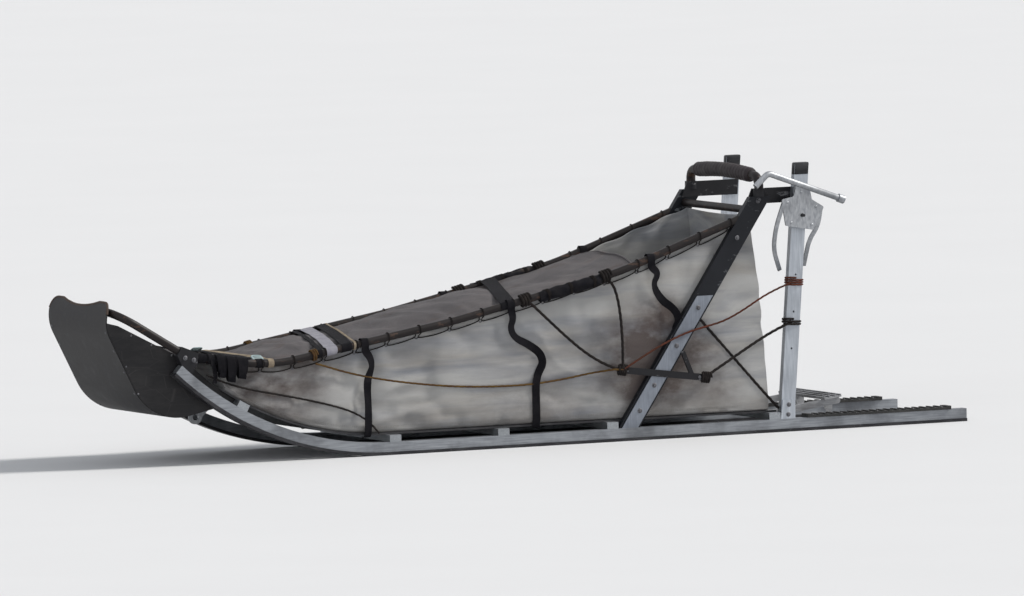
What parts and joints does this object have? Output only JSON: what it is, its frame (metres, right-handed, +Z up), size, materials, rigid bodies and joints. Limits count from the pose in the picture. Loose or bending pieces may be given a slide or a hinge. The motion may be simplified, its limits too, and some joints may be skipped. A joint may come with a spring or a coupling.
{
  "type": "dog sled",
  "caption": "Touring dog sled with a canvas bag on a curved bed, raked stanchions, side rails, brush bow, padded handlebar, foot boards, claw brake and stowed snow hook.",
  "frame": {"origin": "middle of the sled's length and width, on the plane of the runner soles", "axes": "+X forward, +Y to the sled's left, +Z up"},
  "size_m": [3.0464, 0.583, 0.871],
  "materials": {
    "runner_alloy": "drawn, scuffed",
    "shoe_plastic": "scraped",
    "pad_rubber": "ribbed",
    "post_alloy": "satin",
    "crossbar_alloy": "satin",
    "stanchion_black": "satin black",
    "bracket_black": "satin black",
    "rail_black": "satin black",
    "grip_foam": "matt",
    "bed_plastic": "matt",
    "scoop_plastic": "matt, dark grey",
    "bag_canvas": "coated canvas, off-white",
    "cover_canvas": "woven, grey-brown",
    "cord_dark": "braided cord",
    "brake_steel": "worn",
    "hook_steel": "worn"
  },
  "bodies": {
    "sled": {"runner_left": "runner_alloy", "runner_right": "runner_alloy", "shoe_left": "shoe_plastic", "shoe_right": "shoe_plastic", "foot_pad_left": "pad_rubber", "foot_pad_right": "pad_rubber", "post_left": "post_alloy", "post_right": "post_alloy", "stanchion_left": "stanchion_black", "stanchion_right": "stanchion_black", "stanchion_plate_left": "post_alloy", "stanchion_plate_right": "post_alloy", "foot_bracket_left": "post_alloy", "foot_bracket_right": "post_alloy", "head_bracket_left": "bracket_black", "head_bracket_right": "bracket_black", "rail_left": "rail_black", "rail_right": "rail_black", "bow_knuckle_left": "bracket_black", "bow_knuckle_right": "bracket_black", "bow_wing_left": "scoop_plastic", "bow_wing_right": "scoop_plastic", "lashing_bar_left": "bracket_black", "lashing_bar_right": "bracket_black", "stays_left": "cord_dark", "stays_right": "cord_dark", "crossbars": "crossbar_alloy", "bed_sheet": "bed_plastic", "handlebar": "rail_black", "handlebar_grip": "grip_foam", "back_crossbar": "rail_black", "brush_bow": "rail_black", "bow_plate": "scoop_plastic", "bag_body": "bag_canvas", "bag_cover": "cover_canvas", "brake_hinge": "brake_steel", "hook_holder": "bracket_black", "tow_eye": "hook_steel"},
    "brake": {"brake_frame": "brake_steel", "brake_claws": "brake_steel"},
    "hook": {"snow_hook": "hook_steel"}
  },
  "joints": [
    {"name": "brake_pivot", "type": "hinge", "parent": "sled", "child": "brake", "pos_m": [-0.8692, 0, 0.053], "axis": [0, -1, 0], "range_deg": [0, 15], "stiffness_Nm_per_rad": 10, "springref_deg": -25.78},
    {"name": "snow_hook_release", "type": "slide", "parent": "sled", "child": "hook", "axis": [0, 1, 0], "range_m": [0, 0.25]}
  ]
}
